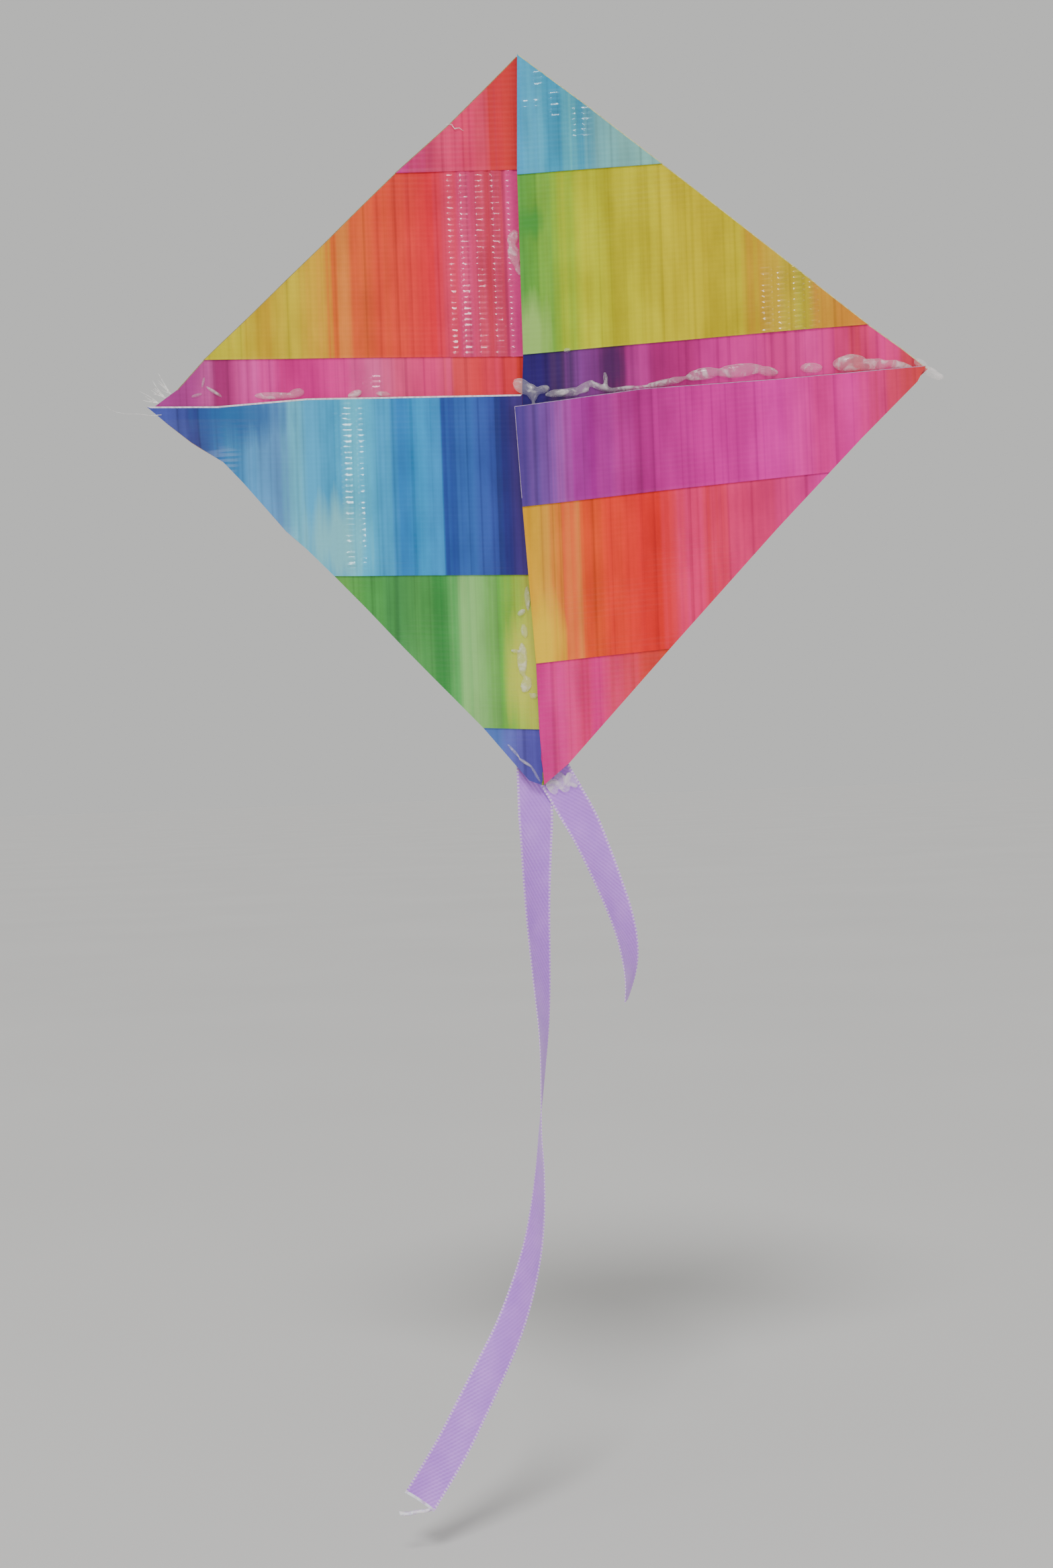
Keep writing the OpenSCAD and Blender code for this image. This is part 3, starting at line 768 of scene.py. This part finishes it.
# ---- Sticks ----
# A flat split-bamboo spine, and a spar behind it. Each was split from a cane and planed, so its
# corners are soft, its faces are grooved along the fibres, and it swells a little at each joint.
def bamboo(name, along):
    """Split bamboo: straight, close fibres with darker flecks."""
    material, tree, shader = new_material(name, {"Roughness": 0.55, "IOR": 1.5})
    place = add_node(tree, "ShaderNodeTexCoord").outputs["Object"]
    fine, run = 1 / (0.35 * mm), 1 / (30 * mm)
    scale = (run, fine, fine) if along == "X" else (fine, fine, run)
    stretched = add_node(tree, "ShaderNodeMapping", {"Scale": scale}, {"Vector": place})
    fibres = add_node(tree, "ShaderNodeTexNoise", {"Scale": 1, "Detail": 4}, {0: stretched.outputs[0]})
    tone = add_node(tree, "ShaderNodeTexNoise", {"Scale": 1 / (25 * mm), "Detail": 2}, {0: place})
    light = add_ramp(tree, fibres.outputs[0], [(0.3, "#a97f44"), (0.5, "#cfa86a"), (0.7, "#e0c48e")])
    colour = add_node(
        tree, "ShaderNodeMix", {"data_type": "RGBA", "blend_type": "MULTIPLY", 0: 0.5},
        {6: light, 7: add_ramp(tree, tone.outputs[0], [(0.35, "#c9b48c"), (0.65, "#ffffff")])},
    )
    tree.links.new(colour.outputs[2], shader.inputs["Base Color"])
    bump = add_node(
        tree, "ShaderNodeBump", {"Strength": 0.5, "Distance": 0.12 * mm}, {"Height": fibres.outputs[0]}
    )
    tree.links.new(bump.outputs[0], shader.inputs["Normal"])
    return material


def stick(name, node, along, joints):
    """A planed stick that fills its CAD node, with a swelling at each joint of the cane."""
    low, high = (Vector(corner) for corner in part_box(node))
    bpy.ops.mesh.primitive_cube_add(size=1, location=(low + high) / 2, scale=high - low)
    piece = bpy.context.object
    piece.name = name
    bpy.ops.object.transform_apply()
    axis = 0 if along == "X" else 2
    slices = 60
    step = (high - low)[axis] / slices
    bpy.ops.object.mode_set(mode="EDIT")
    for i in range(1, slices):
        place, direction = low.copy(), Vector((0, 0, 0))
        place[axis] += i * step
        direction[axis] = 1
        bpy.ops.mesh.select_all(action="SELECT")
        bpy.ops.mesh.bisect(plane_co=place, plane_no=direction)
    bpy.ops.object.mode_set(mode="OBJECT")
    centre = (low + high) / 2
    for v in piece.data.vertices:
        swell = max(math.exp(-(((v.co[axis] - j * mm) / (1.6 * mm)) ** 2)) for j in joints)
        width = 2 - axis
        drift = 0.25 * mm * noise.noise(Vector((0, 0, v.co[axis] * 30)))
        v.co[width] = centre[width] + (v.co[width] - centre[width]) * (0.96 + 0.1 * swell) + drift
    soften = piece.modifiers.new("soft corners", "BEVEL")
    soften.width = 0.4 * mm
    soften.segments = 3
    soften.limit_method = "ANGLE"
    bpy.ops.object.modifier_apply(modifier=soften.name)
    piece.data.materials.append(bamboo(name, along))
    smooth_faces(piece, 40)
    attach(piece, "kite")
    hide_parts(node)


stick("spine_stick", "spine", "Z", (-58, 31))
stick("spar_stick", "spar", "X", (-41, 47))


# ---- Hot glue ----
# Clear hot-melt glue, pressed out of the seams while it was soft. It set in flat, crinkled lumps,
# drops and strings, which are slightly milky and shine where they are smooth.
def glue():
    """Set hot-melt glue: a clear, waxy film with milky crinkles, so the tape shows through it. Where it is
    seen edge-on it is drawn whiter and more opaque, a painted highlight along its rims.
    """
    material, tree, shader = new_material(
        "hot_glue",
        {
            "Base Color": linear("#fbf3f2"),
            "Roughness": 0.18,
            "IOR": 1.48,
            "Coat Weight": 0.5,
            "Coat Roughness": 0.08,
        },
    )
    place = add_node(tree, "ShaderNodeTexCoord").outputs["Object"]
    crinkle = add_node(
        tree, "ShaderNodeTexNoise", {"Scale": 1 / (3.4 * mm), "Detail": 2, "Distortion": 1}, {0: place}
    )
    milky = add_node(
        tree, "ShaderNodeMapRange", {"From Min": 0.46, "From Max": 0.7, "To Min": 0.16, "To Max": 0.6},
        {0: crinkle.outputs[0]},
    )
    # Seen edge-on, the glue turns whiter and more opaque: a painted highlight along the rims of the lumps.
    slope = add_node(tree, "ShaderNodeLayerWeight", {"Blend": 0.35})
    painted_rim_highlight = add_node(
        tree, "ShaderNodeMapRange", {"From Min": 0.25, "From Max": 0.9, "To Max": 0.85},
        {0: slope.outputs["Facing"]},
    )
    film = add_node(
        tree, "ShaderNodeMath", {"operation": "MAXIMUM"}, {0: milky.outputs[0], 1: painted_rim_highlight.outputs[0]}
    )
    tree.links.new(film.outputs[0], shader.inputs["Alpha"])
    bump = add_node(
        tree, "ShaderNodeBump", {"Strength": 0.9, "Distance": 0.4 * mm}, {"Height": crinkle.outputs[0]}
    )
    tree.links.new(bump.outputs[0], shader.inputs["Normal"])
    return material


hot_glue = glue()


def joined(pieces, name):
    """These pieces as one, with this name."""
    bpy.ops.object.select_all(action="DESELECT")
    for piece in pieces:
        piece.select_set(True)
    bpy.context.view_layer.objects.active = pieces[0]
    bpy.ops.object.join()
    whole = bpy.context.object
    whole.name = name
    return whole


def glue_lump(name, node, lumps, flat_y, detail=0.45, crumple=0.5):
    """One mass of glue, built up from lumps of (x, z, length, width, height, turn in degrees), in
    millimetres. They are melted into one skin, crumpled, and pressed flat behind."""
    balls = []
    for x, z, length, width, height, turn in lumps:
        bpy.ops.mesh.primitive_ico_sphere_add(
            subdivisions=4, radius=1, location=(x * mm, flat_y, z * mm),
            scale=(length / 2 * mm, height * mm, width / 2 * mm), rotation=(0, -math.radians(turn), 0),
        )
        balls.append(bpy.context.object)
    piece = joined(balls, name)
    bpy.ops.object.transform_apply()
    melt = piece.modifiers.new("melt", "REMESH")
    melt.mode = "VOXEL"
    melt.voxel_size = detail * mm
    bpy.ops.object.modifier_apply(modifier=melt.name)
    folds = bpy.data.textures.new(name, "CLOUDS")
    folds.noise_scale = 3 * mm
    folds.noise_depth = 1
    crease = piece.modifiers.new("crumple", "DISPLACE")
    crease.texture = folds
    crease.texture_coords = "GLOBAL"
    crease.strength = crumple * mm
    bpy.ops.object.modifier_apply(modifier=crease.name)
    relax = piece.modifiers.new("relax", "SMOOTH")
    relax.factor = 0.4
    relax.iterations = 2
    bpy.ops.object.modifier_apply(modifier=relax.name)
    for v in piece.data.vertices:
        v.co.y = min(v.co.y, flat_y + 0.02 * mm)
        v.co.y += billow(v.co.x / mm, v.co.z / mm) * mm
    piece.data.materials.append(hot_glue)
    smooth_faces(piece, 60)
    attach(piece, "kite")
    if node:
        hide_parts(node)


a_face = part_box("upper_left_bottom_strip")[0][1]
b_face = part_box("upper_right_bottom_strip")[0][1]
c_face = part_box("lower_left_bottom_strip")[0][1]

glue_lump("right_seam_bead", "right_seam_glue", [
    (10, -0.6, 12, 2.2, 1.3, 4), (14, 0.6, 7, 1.6, 1.2, 30), (20.2, 2.2, 1, 4.6, 1, 6),
    (19, 0.4, 9, 1.6, 1, -20), (25, -0.2, 13, 1.4, 1, 3), (36, 1.1, 12, 1.8, 1.1, 10),
    (46, 2.8, 10, 3, 1.4, 8),
    (55, 3.4, 13, 3.6, 1.5, 4), (62.5, 2.9, 6, 2.4, 1.2, -8), (74, 3.4, 6, 2.6, 1.5, 0),
    (84, 4.3, 9, 4.6, 1.9, 3), (90, 3.7, 9, 3.4, 1.5, 0), (97, 3.2, 8, 2.4, 1.3, -15)], b_face)
glue_lump("centre_blob", "centre_glue", [
    (-1.6, 1.4, 5.5, 3.6, 1.4, -35), (1, -0.4, 3, 4.6, 1.5, 10), (3.6, 0.4, 4, 2.2, 1.3, 15),
    (1.2, -3.4, 1, 3.6, 1, 0)], b_face)
glue_lump("nose_seam_bulge", "nose_seam_glue", [
    (-2.6, 40.5, 3, 4.6, 0.9, -15), (-2.4, 36, 3.4, 6.4, 0.8, 10), (-1.6, 32.5, 1.8, 4.6, 0.7, 25)], a_face)
glue_lump("left_seam_lumps", "left_seam_glue", [
    (-66, 1.5, 12, 2, 0.8, -2), (-60.5, 2, 4, 2.4, 0.8, 8), (-45.5, 1.2, 4, 2, 0.9, 20),
    (-38, 0.9, 4, 1.6, 0.8, -10)], a_face, 0.35)
glue_lump("foot_seam_smear", "foot_seam_glue", [
    (-2.3, -54, 1.6, 7, 0.7, 0), (-3.4, -62.5, 2, 4, 0.7, 8), (-4.2, -70, 2.8, 9, 0.9, 0),
    (-3.4, -76.5, 3, 4.6, 0.9, -15), (-1.6, -79.5, 2.6, 2, 0.8, 0)], c_face)
glue_lump("foot_seam_crumb_upper", None, [(-3.9, -57.6, 2.6, 1.6, 1, 35)], c_face, 0.25)
glue_lump("foot_seam_crumb_lower", None, [(-5.8, -67.6, 2.6, 1.2, 0.9, -10)], c_face, 0.25)
glue_lump("left_tip_crumbs", "left_tip_glue", [
    (-82.3, 3.2, 5, 0.9, 0.7, -35), (-85, 5.6, 3, 0.6, 0.5, 75), (-86.8, 2.4, 3, 0.8, 0.6, 15)],
    a_face, 0.22, 0.25)
glue_lump("right_tip_lump", "right_tip_glue", [
    (102.5, 3.3, 4, 2.6, 1.3, -35), (105, 1.2, 5, 2.4, 1.2, -30), (107, 0, 3, 1.6, 0.9, -10)],
    b_face, 0.3)
glue_lump("foot_ridge", "foot_glue", [
    (-7.4, -93.6, 5, 0.8, 0.5, -50), (-4.4, -96.8, 4.4, 0.9, 0.6, -35), (-1.8, -99.9, 5, 0.8, 0.5, -62)],
    c_face, 0.22, 0.3)
glue_lump("tail_smear", "tail_glue_smear", [
    (2.2, -103, 3.4, 6.5, 0.25, 28), (5, -102.2, 4, 7, 0.3, 28), (7.6, -101.8, 3, 6, 0.25, 30)],
    short_y - ribbon_thickness / 2, 0.3, 0.25)
# A thin milky film of glue laid where the tape near the nose seam shows a highlight: a painted highlight.
glue_lump("seam_highlight_patch", None, [
    (-3.4, 61, 4.4, 1.4, 0.22, 4), (-3, 62.4, 3.4, 1.1, 0.2, 8)], a_face, 0.22, 0.12)
glue_lump("edge_crumb", None, [(10.4, 10.4, 2, 1, 0.7, 5)], b_face, 0.22, 0.2)


# Behind the sail: beads along the spine, dabs along the spar, the fillet at the crossing and the
# glue round the roots of the tails.
def glued_pads(name, node, margin, crumple):
    """The glue that was squeezed out round each pad of a CAD node, wider by margin all round."""
    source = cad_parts[node]
    shape = bmesh.new()
    shape.from_mesh(source.data)
    bmesh.ops.remove_doubles(shape, verts=shape.verts, dist=0.001 * mm)
    parts, seen = [], set()
    for start in shape.verts:
        if start in seen:
            continue
        stack, island = [start], []
        seen.add(start)
        while stack:
            v = stack.pop()
            island.append(v.co.copy())
            for e in v.link_edges:
                other = e.other_vert(v)
                if other not in seen:
                    seen.add(other)
                    stack.append(other)
        low = Vector([min(c[i] for c in island) for i in range(3)])
        high = Vector([max(c[i] for c in island) for i in range(3)])
        parts.append((low, high))
    shape.free()
    made = []
    for low, high in parts:
        size = high - low + Vector((margin, 0, margin)) * 2
        bpy.ops.mesh.primitive_cube_add(size=1, location=(low + high) / 2, scale=size)
        made.append(bpy.context.object)
    piece = joined(made, name)
    bpy.ops.object.transform_apply()
    for kind, settings in (
        ("REMESH", {"mode": "VOXEL", "voxel_size": 0.4 * mm}),
        ("SMOOTH", {"factor": 0.6, "iterations": 4}),
    ):
        step = piece.modifiers.new(kind, kind)
        for key, value in settings.items():
            setattr(step, key, value)
        bpy.ops.object.modifier_apply(modifier=step.name)
    for v in piece.data.vertices:
        push = crumple * mm * noise.noise(v.co / (2.5 * mm))
        v.co.x += push
        v.co.z += push
    piece.data.materials.append(hot_glue)
    smooth_faces(piece, 60)
    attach(piece, "kite")
    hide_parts(node)


glued_pads("spine_beads", "spine_glue", 1.2 * mm, 0.6)
glued_pads("spar_dabs", "spar_glue", 0.9 * mm, 0.6)
glued_pads("crossing_fillet", "crossing_glue", -1.2 * mm, 0.8)
glued_pads("tail_root_beads", "tail_root_glue", 0.3 * mm, 0.3)


# ---- Loose threads ----
# White cotton yarns of the scrim, frayed out at the left tip, and one long fine fibre.
def cotton():
    """White cotton yarn: matt and fluffy."""
    material, tree, shader = new_material(
        "cotton_yarn", {"Roughness": 0.85, "IOR": 1.5, "Sheen Weight": 0.4}
    )
    place = add_node(tree, "ShaderNodeTexCoord").outputs["Object"]
    fluff = add_node(tree, "ShaderNodeTexNoise", {"Scale": 1 / (0.6 * mm), "Detail": 2}, {0: place})
    tone = add_ramp(tree, fluff.outputs[0], [(0.3, "#cfcac6"), (0.6, "#faf8f5")])
    tree.links.new(tone, shader.inputs["Base Color"])
    return material


cotton_yarn = cotton()
random.seed(11)
yarns = []
for start, end in (((-93.6, 3), (-97.4, 6.6)), ((-95, 2), (-99.4, 4.6)), ((-96.8, 0.6), (-101, 2.6))):
    for _ in range(6):
        reach = random.uniform(0.4, 1.05)
        fan = random.uniform(-1.6, 1.6)
        bend = random.uniform(-1, 1)
        points = []
        for i in range(6):
            t = i / 5 * reach
            x = start[0] + (end[0] - start[0]) * t + 0.5 * fan * t + bend * t * t
            z = start[1] + (end[1] - start[1]) * t + fan * t - 0.6 * bend * t * (1 - t)
            points.append((x * mm, a_face - (0.15 + 0.7 * t) * mm, z * mm))
        yarns.append(drawn_thread("yarn", points, random.uniform(0.1, 0.24) * mm, cotton_yarn, 0.35))
frayed = joined(yarns, "frayed_yarns")
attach(frayed, "kite")
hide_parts("left_tip_threads")

string_points = [(-19, -5.3, 70.8), (-17.6, -5.7, 70.6), (-16.8, -5.9, 69.4), (-15.6, -5.8, 69.6),
                 (-14.4, -5.4, 68.8)]
string = drawn_thread("glue_string", [Vector(p) * mm for p in string_points], 0.22 * mm, hot_glue, 0.5)
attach(string, "kite")

fibre_points = [(-96, -6.3, -2.6), (-99, -6.4, -2.7), (-102, -6.5, -2.2), (-105, -6.6, -2.1),
                (-107.5, -6.7, -1.6), (-109.2, -6.8, -0.8), (-110, -6.8, 0)]
fibre = drawn_thread("loose_fibre", [Vector(p) * mm for p in fibre_points], 0.07 * mm, cotton_yarn, 0.6)
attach(fibre, "kite")
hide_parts("loose_filament")


# ---- Stage ----
# A plain pale floor a little below the tails, and soft light from above and in front.
floor_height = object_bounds()[0][2] - 12 * mm
bpy.ops.mesh.primitive_plane_add(size=60, location=(0, 0, floor_height))
floor = bpy.context.object
floor.name = "floor"
floor_paint, floor_tree, floor_shader = new_material("pale_floor", {"Roughness": 0.85})
floor_place = add_node(floor_tree, "ShaderNodeTexCoord").outputs["Object"]
floor_grain = add_node(floor_tree, "ShaderNodeTexNoise", {"Scale": 3}, {0: floor_place})
floor_tone = add_ramp(floor_tree, floor_grain.outputs[0], [(0.3, "#dddcda"), (0.7, "#e1e0de")])
floor_tree.links.new(floor_tone, floor_shader.inputs["Base Color"])
floor.data.materials.append(floor_paint)

# The room is pale behind the kite and dim behind the viewer, so that the film keeps its colours.
world = bpy.data.worlds.new("pale_room")
bpy.context.scene.world = world
world.use_nodes = True
room = world.node_tree
direction = add_node(room, "ShaderNodeTexCoord").outputs["Generated"]
depth = add_node(room, "ShaderNodeSeparateXYZ", links={0: direction}).outputs["Y"]
behind = add_node(room, "ShaderNodeMapRange", {"From Min": -0.6, "From Max": 0.4}, {0: depth})
room_tone = add_ramp(room, behind.outputs[0], [(0, "#8c8c8b"), (1, "#cfcfcd")])
room.links.new(room_tone, room.nodes["Background"].inputs["Color"])
room.nodes["Background"].inputs["Strength"].default_value = 1

bpy.ops.object.light_add(type="SUN", location=(0, 0, 1))
sun = bpy.context.object
sun.name = "high_window"
sun.data.energy = 1.7
sun.data.angle = math.radians(14)
sun.rotation_euler = Vector((0.06, 0.64, -0.68)).to_track_quat("-Z", "Y").to_euler()
for name, place, size, power in (
    ("front_left", (-0.8, -0.9, 0.1), 0.6, 4),
    ("front_right", (0.9, -0.8, 0), 0.6, 3),
):
    bpy.ops.object.light_add(type="AREA", location=place)
    light = bpy.context.object
    light.name = name
    light.data.size = size
    light.data.energy = power
    light.rotation_euler = (Vector((0, 0, -0.03)) - Vector(place)).to_track_quat("-Z", "Y").to_euler()
